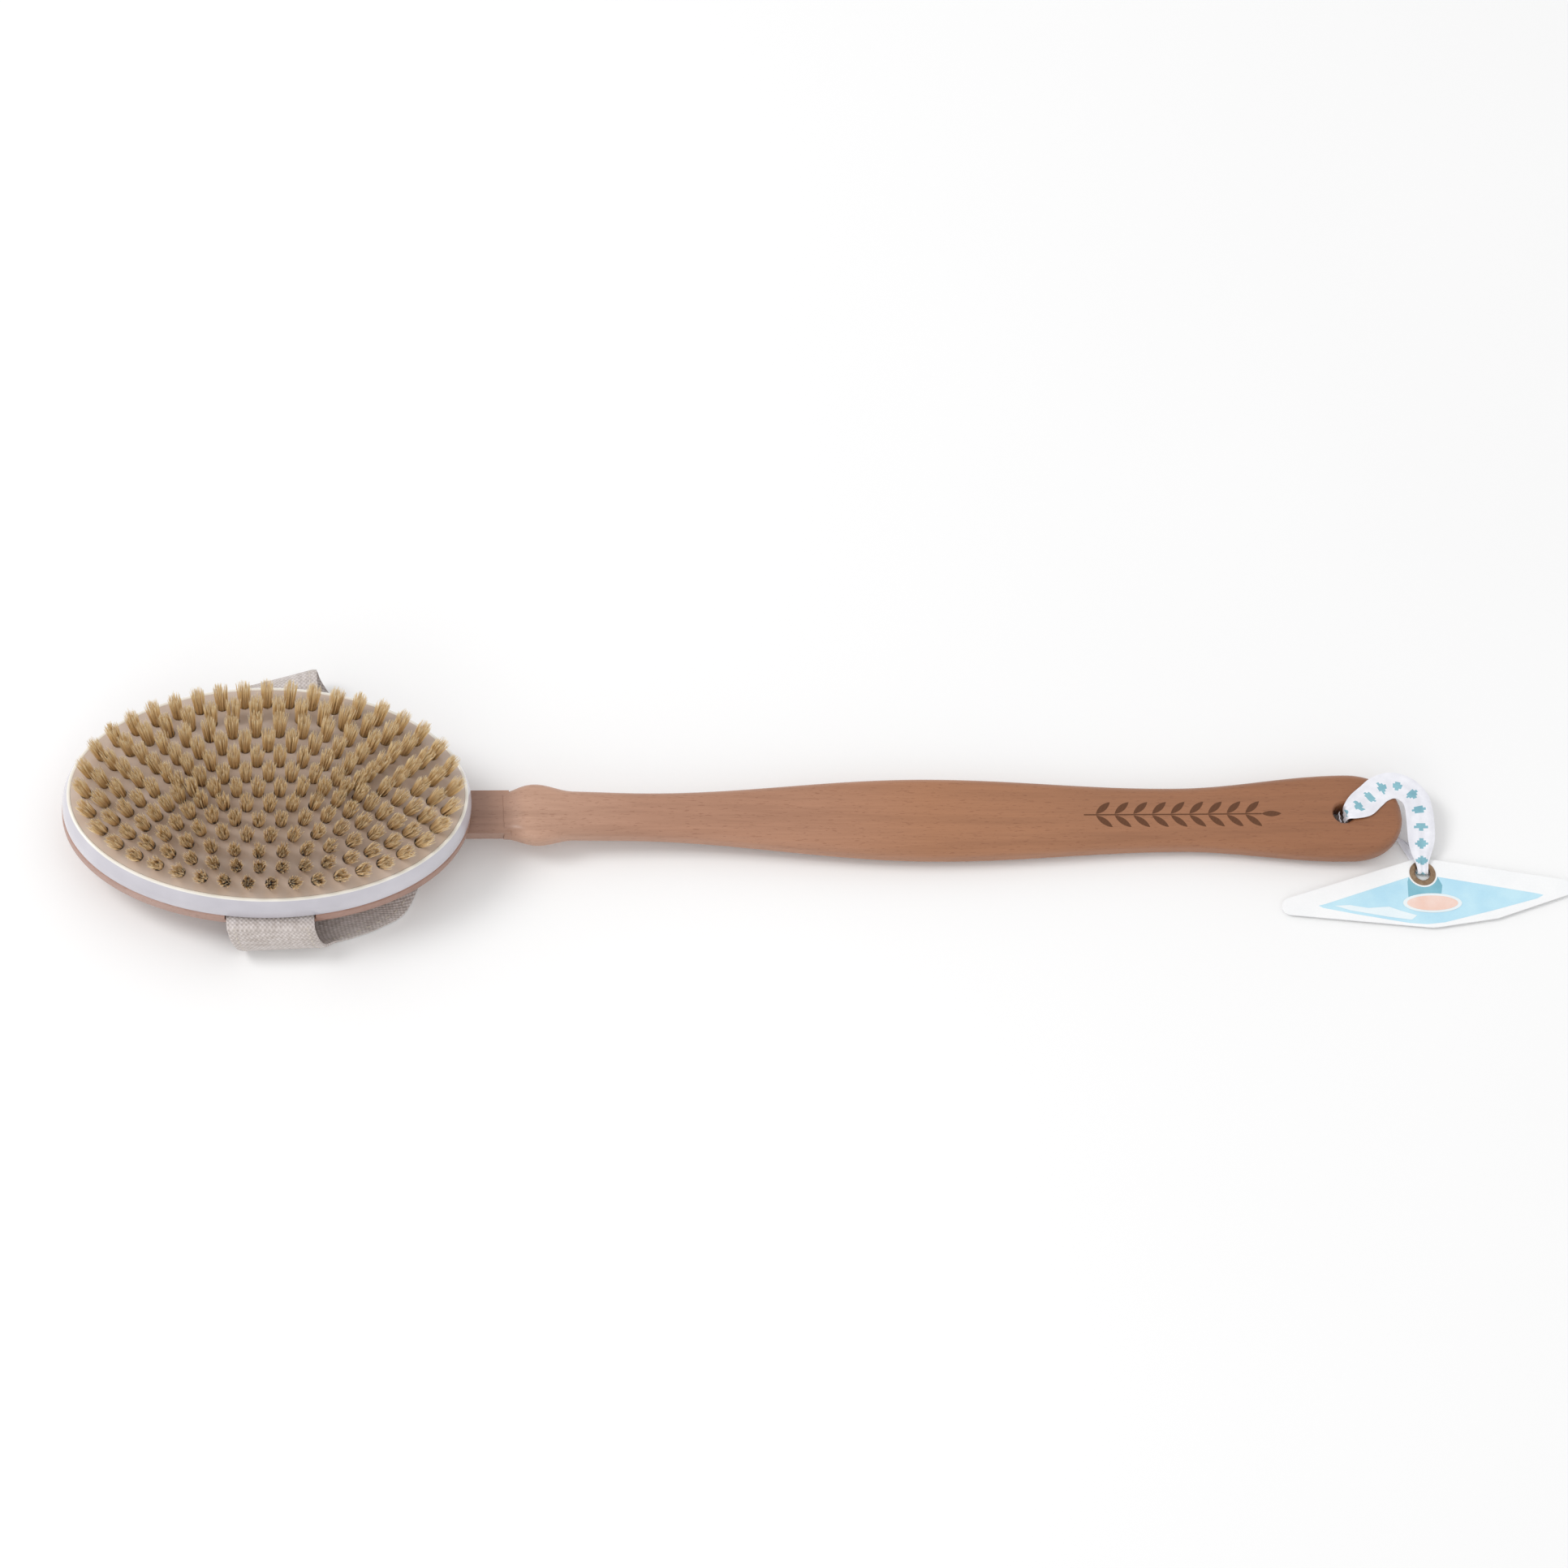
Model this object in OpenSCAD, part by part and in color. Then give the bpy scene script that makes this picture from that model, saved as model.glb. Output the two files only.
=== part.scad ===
// Long-handled body dry brush: oval head with a canvas hand strap across its back, and a
// paddle handle whose dovetail tongue pulls out of the head. The brush lies on its back.

/* [Overall] */
// Length from the head's rounded end to the handle's tip
overall_length = 432; // [424:1:440]

/* [Head] */
// Length of the oval head
head_length = 127; // [126:0.5:129]
// Width of the oval head
head_width = 78; // [77:0.5:79]
// Thickness of the wooden back board
board_height = 10; // [10:0.25:11]
// Thickness of the white bristle block
block_height = 9.5; // [9.5:0.25:11]
// How far the bristle face is set in from the rim
face_inset = 2.6; // [2.4:0.1:3.4]

/* [Bristles] */
// Distance between neighbouring tufts along a ring
tuft_pitch = 7; // [7:0.1:7.4]
// Radius of a tuft where it leaves its hole
tuft_radius = 1.7; // [1.6:0.05:1.8]
// Length of a tuft above the bristle face
tuft_length = 9.5; // [8:0.5:11]
// Lean of the outermost tufts towards the head's two ends, in degrees
fan_lengthwise = 18; // [10:1:20]
// Lean of the outermost tufts towards the head's two sides, in degrees
fan_sideways = 20; // [10:1:24]

/* [Hand strap] */
// Thickness of the canvas strap
strap_thickness = 1.5; // [1.2:0.1:1.5]
// Free height for the hand between the strap and the back board
hand_gap = 5.5; // [5.5:0.5:8]

/* [Handle] */
// Thickness of the handle
handle_thickness = 8.4; // [8:0.2:9]
// Width across the shoulder next to the head
shoulder_width = 20.2; // [18:0.2:22]
// Width across the neck
neck_width = 15.4; // [15:0.2:18]
// Width across the belly
belly_width = 28; // [26:0.2:32]
// Width across the waist before the end
waist_width = 21.4; // [20:0.2:24]
// Width across the rounded end
end_width = 30; // [28:0.2:31.6]
// Radius of the hanging hole
hang_hole_radius = 3.4; // [3:0.1:3.6]

/* [Dovetail joint] */
// Length of the tongue inside the head
tongue_length = 58; // [50:1:62]
// Width of the tongue across its wide upper face
tongue_width = 15.2; // [14.6:0.2:15.6]
// Thickness of the tongue
tongue_height = 5.8; // [5.4:0.1:6]
// Clearance between the tongue and its groove
slide_gap = 0.15; // [0.1:0.05:0.2]

/* [Ribbon and tag] */
// Width of the satin ribbon
ribbon_width = 9.5; // [8:0.5:10]
// Thickness of the satin ribbon
ribbon_thickness = 0.3; // [0.25:0.05:0.35]
// Thickness of the tag card
tag_thickness = 0.5; // [0.4:0.05:0.6]
// Outer radius of the eyelet's flanges
eyelet_radius = 4.4; // [4.2:0.1:4.8]

/* [Hidden] */

// The strap stands out further beyond the far edge than beyond the near one, so the head and
// the handle lie this far to the near side of the whole object's middle.
head_y = -4.75;
head_x = (head_length - overall_length) / 2;

// Heights above the surface that the brush lies on
board_z = strap_thickness + hand_gap;
block_z = board_z + board_height;
face_z = block_z + block_height;

// Each row is [inset from the oval's outline, height], from the bottom up.
board_profile = [
    [15, 0], [11.5, 0.8], [1.6, 4.8], [0.5, 5.5], [0, 6.4], [0, 9.3], [0.4, board_height]
];
block_profile = [
    [0.5, 0], [0.2, 0.5], [0.1, 2.5], [0.3, 5], [0.9, 7.4], [face_inset - 0.9, block_height]
];
// The drilled plate that holds the tufts lies in a pocket in the block, flush with its lip.
plate_height = 6;
plate_z = face_z - plate_height;
oval_sides = 96;

// The last ring has no width: it is the straight row of tufts along the middle.
ring_count = 7;
outer_ring_inset = face_inset + 4.9;
ring_pitch = (head_width / 2 - outer_ring_inset) / (ring_count - 1);
// The middle row stops this far short, to leave room for the ring round it.
row_end_gap = 1.5;
hole_depth = 5.2;
anchor_radius = 0.4;
// How much wider a tuft is at its tip
tuft_flare = 0.25;
// A tuft hole is twelve-sided, and its corners stand this far from its middle.
hole_radius = tuft_radius + 0.08;
hole_sides = 12;
// The worn bristles lean a little towards the near side.
near_lean = 6;

screw_radius = 1.5;
screw_head_radius = 2.9;
screw_bite = 3;
screw_places = [[-34, -13], [-34, 13], [34, -13], [34, 13]];

tack_radius = 0.7;
tack_head_radius = 2;
tack_head_height = 0.6;
tack_length = 5;
// The strap sits a little to the handle's side of the head's middle.
strap_x = 1.5;
// The two strap ends lie in pockets in the top of the board: [middle x, side].
strap_ends = [[strap_x - 1.5, -1], [strap_x + 1.5, 1]];
strap_width = 27;
pocket_width = strap_width + 1;
pocket_depth = strap_thickness + tack_head_height;
pocket_reach = 14;
strap_end_z = block_z - tack_head_height - strap_thickness / 2;

// Route of the strap, from its near end under the head to its far end. Each row gives the
// strap's left edge and its right edge, as [x, y, z] with x measured from strap_x.
strap_flat_z = strap_thickness / 2;
strap_route = [
    [[-15, -26, strap_end_z], [12, -26, strap_end_z]],
    [[-15, -39.5, strap_end_z], [12, -39.5, strap_end_z]],
    [[-14.5, -42, 14], [12.5, -42, 14]],
    [[-13, -43.5, 9.5], [14, -43.5, 10]],
    [[-11, -43, 4.5], [16, -42.5, 5]],
    [[-9, -40, 1.5], [19, -39.5, 1.5]],
    [[-3, -33, strap_flat_z], [25, -37.5, strap_flat_z]],
    [[8, -24, strap_flat_z], [34, -34, strap_flat_z]],
    [[18, -14, strap_flat_z], [42, -28, strap_flat_z]],
    [[22, -3, strap_flat_z], [48, -12, strap_flat_z]],
    [[22, 8, strap_flat_z], [49, 5, strap_flat_z]],
    [[16, 20, strap_flat_z], [43, 20, strap_flat_z]],
    [[4, 32, strap_flat_z], [32, 33, strap_flat_z]],
    [[-6, 39, 1.5], [22, 45, 1.5]],
    [[-10, 42.5, 4.5], [17, 51.5, 4.5]],
    [[-11.5, 43.5, 8.5], [15.5, 53, 8.5]],
    [[-12, 43.5, 12.5], [15, 50.5, 13]],
    [[-12, 41, strap_end_z - 0.2], [15, 44, strap_end_z]],
    [[-12, 37, strap_end_z], [15, 38, strap_end_z]],
    [[-12, 26, strap_end_z], [15, 26, strap_end_z]]
];
strap_steps = 3;

// The handle's plan, as [distance from the head's middle, half width] at each swell and dip
tongue_start = head_length / 2 - tongue_length;
paddle_start = head_length / 2 + 10.5;
paddle_end = overall_length - head_length / 2;
cap_length = 18;
// The paddle starts this much thicker and wider than the tongue on each side.
shoulder_step = 0.3;
plan_keys = [
    [paddle_start, tongue_width / 2 + shoulder_step], [84.5, shoulder_width / 2],
    [96.5, neck_width / 2 + 0.2], [115, neck_width / 2], [213, belly_width / 2],
    [293, waist_width / 2], [paddle_end - cap_length, end_width / 2]
];
cap_power = 2.15;
edge_radius = 3.4;
lowest_at = 287;
shoulder_ramp = 7;
hang_hole_x = 348.5;

tongue_z = board_z + slide_gap;
// The mouth of the dovetail is narrower than its root by this much on each side.
dovetail_undercut = 1;

// Route of the ribbon, from inside the hanging hole over the handle's end, through the
// eyelet and back under the handle into the hole. Each row is [x, y, z, share of the ribbon's
// width, direction of the width in plan in degrees], with x and y from the head's middle.
ribbon_route = [
    [349.3, 0, 5.5, 0.48, 90], [349.3, 0, 9.2, 0.52, 100], [351, 0.6, 10.2, 0.74, 115],
    [354.5, 2.4, 10.1, 1, 130], [358, 5.4, 9.8, 1, 135], [361.5, 8.2, 9.8, 1, 115],
    [366, 9.4, 9.8, 1, 85], [370.2, 8, 9.8, 1, 50], [373, 4.8, 9.5, 1, 24],
    [374, 0.8, 8.5, 1, 8], [374.3, -4, 7, 1, 0], [374.3, -8.5, 5.3, 0.95, 0],
    [374.3, -12, 3.6, 0.74, 0], [374.3, -15, 2.5, 0.48, 0], [374.3, -17.6, 2.2, 0.38, 0],
    [374.3, -18.6, 1.2, 0.36, 0], [374.3, -17.6, 0.2, 0.38, 0], [373.8, -13, 0.2, 0.63, 0],
    [371.5, -8, 0.2, 0.84, -25], [367, -3.5, 0.2, 0.84, -50], [360, -0.8, 0.25, 0.74, -75],
    [353.5, 0, 0.2, 0.53, -90], [350.6, 0, 0.35, 0.48, -90], [348.4, 0, 1.4, 0.48, -90],
    [348, 0, 5.5, 0.48, -90]
];

// The tag's plan, as [x, y, corner radius] from the middle of its eyelet
eyelet_place = [374.3, -18.5];
tag_corners = [[0, 0, 5.6], [-45.5, -11.5, 3], [46.5, -5.5, 3], [1, -8.5, 11], [22, -11.5, 5]];
eyelet_hole_radius = 2.5;
eyelet_wall = 0.4;
eyelet_flange = 0.3;
eyelet_z = 0.45;
tag_z = eyelet_z + eyelet_flange;

smooth = 32;

// A value eased from a to b as t goes from 0 to 1
function eased(a, b, t) = a + (b - a) * (1 - cos(180 * t)) / 2;
// A point on the smooth curve between p1 and p2, with p0 and p3 as the next points beyond
function between(p0, p1, p2, p3, t) =
    0.5 * (2 * p1 + (p2 - p0) * t + (2 * p0 - 5 * p1 + 4 * p2 - p3) * t * t
    + (3 * p1 - p0 - 3 * p2 + p3) * t * t * t);
// The route's row i, held at the two ends
function row(route, i) = route[min(max(i, 0), len(route) - 1)];
// The smooth curve through a list of equal rows, with the given number of steps for each span
function smoothed(route, steps) = [
    for (i = [0 : len(route) - 2], s = [0 : steps - 1])
        between(row(route, i - 1), route[i], route[i + 1], row(route, i + 2), s / steps),
    route[len(route) - 1]
];
function unit(v) = v / norm(v);

// Triangles over a closed surface made of rings with the same number of points each. Seen from
// the last ring, each ring runs anticlockwise.
function skin_faces(rings, sides) = concat(
    [for (i = [0 : rings - 2], j = [0 : sides - 1])
        let (a = i * sides + j, b = i * sides + (j + 1) % sides) [b + sides, b, a]],
    [for (i = [0 : rings - 2], j = [0 : sides - 1])
        let (a = i * sides + j, b = i * sides + (j + 1) % sides) [a + sides, b + sides, a]],
    [[for (j = [0 : sides - 1]) j]],
    [[for (j = [sides - 1 : -1 : 0]) (rings - 1) * sides + j]]
);

module skin(rings) {
    sides = len(rings[0]);
    polyhedron(
        points = [for (ring = rings, point = ring) point],
        faces = skin_faces(len(rings), sides)
    );
}

// Flat band with its middle at m, its width vector w, and the thickness t across it
function band_section(m, w, along, t) =
    let (across = unit(cross(w, along)) * t / 2)
    [m - w / 2 + across, m + w / 2 + across, m + w / 2 - across, m - w / 2 - across];

// The head's outline drawn in by an inset
function oval_outline(inset) = [
    for (j = [0 : oval_sides - 1])
        oval_point([head_length / 2 - inset, head_width / 2 - inset], 360 * j / oval_sides)
];

// An oval disc whose outline follows a profile of insets and heights
module oval_disc(profile, z) {
    skin([
        for (level = profile)
            [for (point = oval_outline(level[0])) [point[0], point[1], z + level[1]]]
    ]);
}

// Size of one ring of tufts, as [half length, half width]
function ring_size(ring) =
    let (inset = outer_ring_inset + (ring - 1) * ring_pitch)
    [head_length / 2 - inset, head_width / 2 - inset];
function oval_point(size, turn) = [size[0] * cos(turn), size[1] * sin(turn)];
// Rows of [length along the oval, angle], from which lookup() finds evenly spaced places
function arc_table(size, turn = 0, length = 0, table = []) =
    turn > 360 ? table : arc_table(
        size, turn + 3,
        length + norm(oval_point(size, turn + 3) - oval_point(size, turn)),
        concat(table, [[length, turn]])
    );
function oval_places(ring) =
    let (
        size = ring_size(ring),
        table = arc_table(size),
        around = table[len(table) - 1][0],
        count = 2 * round(around / tuft_pitch / 2),
        stagger = ring % 2 == 0 ? 0.5 : 0
    )
    [for (i = [0 : count - 1]) oval_point(size, lookup(around * (i + stagger) / count, table))];
function row_places(reach) =
    let (gaps = round(2 * reach / tuft_pitch))
    [for (i = [0 : gaps]) [reach * (2 * i / gaps - 1), 0]];
// Places of the tufts in one ring, as [x, y] from the head's middle
function ring_places(ring) =
    ring < ring_count ? oval_places(ring) : row_places(ring_size(ring)[0] - row_end_gap);

// Puts its children in the mouth of the tuft hole at place, with their Z axis along the tuft
module along_tuft(place) {
    outer = ring_size(1);
    lean_x = tan(fan_lengthwise) * place[0] / outer[0];
    lean_y = tan(fan_sideways) * place[1] / outer[1] - tan(near_lean);
    translate([head_x + place[0], head_y + place[1], face_z])
        rotate([0, atan(norm([lean_x, lean_y])), atan2(lean_y, lean_x)])
            children();
}

module tufts(ring) {
    root = hole_depth - 2 * anchor_radius;
    color("#c4a06a")
        for (place = ring_places(ring))
            along_tuft(place) {
                translate([0, 0, -root])
                    cylinder(h = root, r = tuft_radius, $fn = smooth);
                cylinder(
                    h = tuft_length, r1 = tuft_radius, r2 = tuft_radius + tuft_flare,
                    $fn = smooth
                );
            }
}

module anchor_wires(ring) {
    span = 2 * tuft_radius - 0.2;
    color("silver")
        for (place = ring_places(ring))
            along_tuft(place)
                translate([-span / 2, 0, anchor_radius - hole_depth])
                    rotate([0, 90, 0])
                        cylinder(h = span, r = anchor_radius, $fn = smooth);
}

// Countersunk wood screw, head down, with its flat head at the origin
module screw_shape(radius, length) {
    head = screw_head_radius - screw_radius;
    cylinder(h = head, r1 = screw_head_radius, r2 = radius, $fn = smooth);
    cylinder(h = length, r = radius, $fn = smooth);
}

module at_screws() {
    for (place = screw_places)
        translate([head_x + place[0], head_y + place[1], board_z])
            children();
}

module block_screws() {
    color("goldenrod")
        at_screws()
            screw_shape(screw_radius, board_height + screw_bite);
}

module at_tacks(z) {
    for (end = strap_ends, step = [-1, 0, 1])
        translate([
            head_x + end[0] + 8.5 * step,
            head_y + end[1] * (head_width / 2 - pocket_reach + 5),
            z
        ])
            children();
}

module strap_tacks() {
    color("dimgray")
        at_tacks(block_z - tack_head_height) {
            cylinder(h = tack_head_height, r = tack_head_radius, $fn = smooth);
            translate([0, 0, -tack_length])
                cylinder(h = tack_length, r = tack_radius, $fn = smooth);
        }
}

// Cross-section of the dovetail, grown by a clearance on its sloping sides and its root
module dovetail_outline(gap, mouth_overlap) {
    top = tongue_width / 2 + gap;
    mouth = top - dovetail_undercut;
    polygon([
        [-mouth, -mouth_overlap], [mouth, -mouth_overlap], [mouth, 0],
        [top, tongue_height + gap], [-top, tongue_height + gap], [-mouth, 0]
    ]);
}

module dovetail_bar(length, gap, mouth_overlap) {
    rotate([90, 0, 90])
        linear_extrude(height = length)
            dovetail_outline(gap, mouth_overlap);
}

module back_board() {
    color("#b0937f")
        difference() {
            translate([head_x, head_y, 0])
                oval_disc(board_profile, board_z);
            translate([head_x + tongue_start - slide_gap, head_y, tongue_z])
                dovetail_bar(head_length, slide_gap, 2);
            for (end = strap_ends)
                translate([
                    head_x + end[0] - pocket_width / 2,
                    head_y + (end[1] > 0 ? head_width / 2 - pocket_reach : -head_width / 2 - 5),
                    block_z - pocket_depth
                ])
                    cube([pocket_width, pocket_reach + 5, pocket_depth + 1]);
            at_tacks(block_z - tack_head_height - tack_length)
                cylinder(h = tack_length, r = tack_radius, $fn = smooth);
            at_screws()
                screw_shape(screw_radius, board_height + 1);
        }
}

module bristle_block() {
    color("#f0eef2")
        difference() {
            translate([head_x, head_y, 0])
                oval_disc(block_profile, block_z);
            translate([head_x, head_y, plate_z])
                linear_extrude(height = plate_height + 1)
                    polygon(oval_outline(face_inset));
            at_screws()
                translate([0, 0, board_height - 1])
                    cylinder(h = screw_bite + 1, r = screw_radius, $fn = smooth);
        }
}

module tuft_plate() {
    color("#e8e4ea")
        difference() {
            translate([head_x, head_y, plate_z])
                linear_extrude(height = plate_height)
                    polygon(oval_outline(face_inset));
            for (ring = [1 : ring_count], place = ring_places(ring))
                along_tuft(place)
                    translate([0, 0, -hole_depth])
                        cylinder(h = hole_depth + 2, r = hole_radius, $fn = hole_sides);
        }
}

module hand_strap() {
    rows = smoothed(strap_route, strap_steps);
    last = len(rows) - 1;
    middles = [for (r = rows) (r[0] + r[1]) / 2];
    color("#d6cdc2")
        translate([head_x + strap_x, head_y, 0])
            skin([
                for (i = [0 : last])
                    let (
                        lift = [0, 0, max(0, strap_flat_z - middles[i][2])],
                        along = middles[min(i + 1, last)] - middles[max(i - 1, 0)]
                    )
                    band_section(middles[i] + lift, rows[i][1] - rows[i][0], along, strap_thickness)
            ]);
}

// Half width of the handle at a distance x from the head's middle
function key_span(x) = max([for (i = [0 : len(plan_keys) - 2]) x >= plan_keys[i][0] ? i : 0]);
function key_width(x) =
    let (a = plan_keys[key_span(x)], b = plan_keys[key_span(x) + 1])
    eased(a[1], b[1], (x - a[0]) / (b[0] - a[0]));
function cap_width(x) =
    end_width / 2 * pow(1 - pow((x - paddle_end + cap_length) / cap_length, cap_power), 1 / cap_power);
function half_width(x) = x > paddle_end - cap_length ? cap_width(x) : key_width(x);

// Heights of the handle's underside and top, before their edges are rounded
function underside(x) =
    (tongue_z - shoulder_step) * pow((x - lowest_at) / (lowest_at - paddle_start), 2);
function thickness_at(x) =
    eased(
        tongue_height + 2 * shoulder_step, handle_thickness,
        min((x - paddle_start) / shoulder_ramp, 1)
    );
function tip_rounding(x) =
    let (d = min(paddle_end - x, edge_radius))
    edge_radius - sqrt(edge_radius * edge_radius - pow(edge_radius - d, 2));

// Rounded rectangle across the handle at x
function handle_section(x) =
    let (
        wide = half_width(x),
        tall = thickness_at(x) / 2 - tip_rounding(x),
        middle = underside(x) + thickness_at(x) / 2,
        r = min(edge_radius, wide, tall) * 0.98
    )
    [
        for (corner = [[1, 1, 0], [-1, 1, 90], [-1, -1, 180], [1, -1, 270]], step = [0 : 5])
            [
                x,
                corner[0] * (wide - r) + r * cos(corner[2] + 18 * step),
                middle + corner[1] * (tall - r) + r * sin(corner[2] + 18 * step)
            ]
    ];

module handle() {
    cap_start = paddle_end - cap_length;
    body_steps = 44;
    cap_steps = 9;
    stations = concat(
        [for (i = [0 : body_steps]) paddle_start + (cap_start - paddle_start) * i / body_steps],
        [for (i = [1 : cap_steps]) cap_start + cap_length * 0.998 * sin(90 * i / cap_steps)]
    );
    color("#b5866c")
        translate([head_x, head_y, 0])
            difference() {
                union() {
                    skin([for (x = stations) handle_section(x)]);
                    translate([tongue_start, 0, tongue_z])
                        dovetail_bar(paddle_start + 2 - tongue_start, 0, 0);
                }
                translate([hang_hole_x, 0, -1])
                    cylinder(h = handle_thickness + 4, r = hang_hole_radius, $fn = smooth);
            }
}

module hanging_ribbon() {
    last = len(ribbon_route) - 1;
    points = [for (r = ribbon_route) [r[0], r[1], r[2]]];
    color("white")
        translate([head_x, head_y, 0])
            skin([
                for (i = [0 : last])
                    let (
                        r = ribbon_route[i],
                        across = r[3] * ribbon_width * [cos(r[4]), sin(r[4]), 0],
                        along = points[min(i + 1, last)] - points[max(i - 1, 0)]
                    )
                    band_section(points[i], across, along, ribbon_thickness)
            ]);
}

module at_eyelet(z) {
    translate([head_x + eyelet_place[0], head_y + eyelet_place[1], z])
        children();
}

module hang_tag() {
    color("#b4dcee")
        at_eyelet(tag_z)
            difference() {
                linear_extrude(height = tag_thickness)
                    hull()
                        for (corner = tag_corners)
                            translate([corner[0], corner[1]])
                                circle(r = corner[2], $fn = 32);
                translate([0, 0, -1])
                    cylinder(h = 3, r = eyelet_hole_radius + eyelet_wall, $fn = smooth);
            }
}

// Turned brass ring with a flange on each side of the card
module tag_eyelet() {
    inner = eyelet_hole_radius;
    wall = inner + eyelet_wall;
    top = 2 * eyelet_flange + tag_thickness;
    color("darkgoldenrod")
        at_eyelet(eyelet_z)
            rotate_extrude($fn = smooth)
                polygon([
                    [inner, 0], [eyelet_radius, 0], [eyelet_radius, eyelet_flange],
                    [wall, eyelet_flange], [wall, top - eyelet_flange],
                    [eyelet_radius, top - eyelet_flange], [eyelet_radius, top], [inner, top]
                ]);
}

back_board();
bristle_block();
tuft_plate();
block_screws();
hand_strap();
strap_tacks();
tufts(1);  // tufts_ring_1
tufts(2);  // tufts_ring_2
tufts(3);  // tufts_ring_3
tufts(4);  // tufts_ring_4
tufts(5);  // tufts_ring_5
tufts(6);  // tufts_ring_6
tufts(ring_count);  // tufts_centre_row
anchor_wires(1);  // anchor_wires_ring_1
anchor_wires(2);  // anchor_wires_ring_2
anchor_wires(3);  // anchor_wires_ring_3
anchor_wires(4);  // anchor_wires_ring_4
anchor_wires(5);  // anchor_wires_ring_5
anchor_wires(6);  // anchor_wires_ring_6
anchor_wires(ring_count);  // anchor_wires_centre_row
handle();
hanging_ribbon();
hang_tag();
tag_eyelet();
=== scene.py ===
import math
import random

import bpy
from mathutils import Matrix, Vector


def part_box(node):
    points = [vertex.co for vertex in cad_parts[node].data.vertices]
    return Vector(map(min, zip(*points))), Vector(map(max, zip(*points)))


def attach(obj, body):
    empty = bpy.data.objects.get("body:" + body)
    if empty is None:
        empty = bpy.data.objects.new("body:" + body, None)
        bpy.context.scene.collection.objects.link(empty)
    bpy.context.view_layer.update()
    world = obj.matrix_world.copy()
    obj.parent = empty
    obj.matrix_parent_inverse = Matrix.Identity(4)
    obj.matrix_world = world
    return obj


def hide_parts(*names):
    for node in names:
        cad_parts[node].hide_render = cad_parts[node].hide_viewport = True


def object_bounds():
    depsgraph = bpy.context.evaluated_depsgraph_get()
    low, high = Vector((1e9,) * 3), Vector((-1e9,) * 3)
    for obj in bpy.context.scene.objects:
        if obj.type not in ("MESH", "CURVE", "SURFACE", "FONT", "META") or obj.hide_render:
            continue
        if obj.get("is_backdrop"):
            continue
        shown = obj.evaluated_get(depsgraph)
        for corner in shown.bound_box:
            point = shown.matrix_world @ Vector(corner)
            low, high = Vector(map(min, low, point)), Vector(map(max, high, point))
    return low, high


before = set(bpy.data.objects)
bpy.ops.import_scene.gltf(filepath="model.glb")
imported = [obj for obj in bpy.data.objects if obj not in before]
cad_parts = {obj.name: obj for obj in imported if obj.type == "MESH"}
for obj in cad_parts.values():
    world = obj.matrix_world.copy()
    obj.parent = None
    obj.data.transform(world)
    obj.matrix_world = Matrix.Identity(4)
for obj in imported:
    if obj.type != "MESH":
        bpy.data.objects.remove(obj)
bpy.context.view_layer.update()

MM = 0.001
FLOOR_CLEARANCE = 0.00005
OVAL_SIDES, ROUND_SIDES = 192, 48
SCREW_PLACES = [(x, y) for x in (-34, 34) for y in (-13, 13)]
random.seed(11)

# ---------------------------------------------------------------- where the CAD parts are
board_low, board_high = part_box("back_board")
_, plate_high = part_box("tuft_plate")
eyelet_low, eyelet_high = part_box("tag_eyelet")
tag_low, tag_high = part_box("hang_tag")
HEAD = Vector(((board_low.x + board_high.x) / 2, (board_low.y + board_high.y) / 2, 0))
HEAD_LENGTH = board_high.x - board_low.x
HEAD_WIDTH = board_high.y - board_low.y
BOARD_Z, BLOCK_Z, FACE_Z = board_low.z, board_high.z, plate_high.z
EYELET = (eyelet_low + eyelet_high) / 2


def at_head(x, y, z):
    """A point given in millimetres from the head's middle, in the row frame."""
    return HEAD + Vector((x, y, z)) * MM


# ---------------------------------------------------------------- camera
def make_camera(target, azimuth, elevation, roll, distance, lens):
    a, e, r = (math.radians(v) for v in (azimuth, elevation, roll))
    back = Vector((math.sin(a) * math.cos(e), -math.cos(a) * math.cos(e), math.sin(e)))
    level = Vector((math.cos(a), math.sin(a), 0))
    right = level * math.cos(r) + back.cross(level) * math.sin(r)
    up = back.cross(right)
    data = bpy.data.cameras.new("camera")
    data.lens = lens
    data.sensor_width = 36
    data.clip_start, data.clip_end = 0.05, 20
    camera = bpy.data.objects.new("camera", data)
    turn = Matrix((right, up, back)).transposed().to_4x4()
    camera.matrix_world = Matrix.Translation(target + back * distance) @ turn
    bpy.context.scene.collection.objects.link(camera)
    bpy.context.scene.camera = camera


make_camera(Vector((0.0116, 0.0044, 0.0134)), -18, 61, 15.6, 1.4, 100.6)


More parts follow.
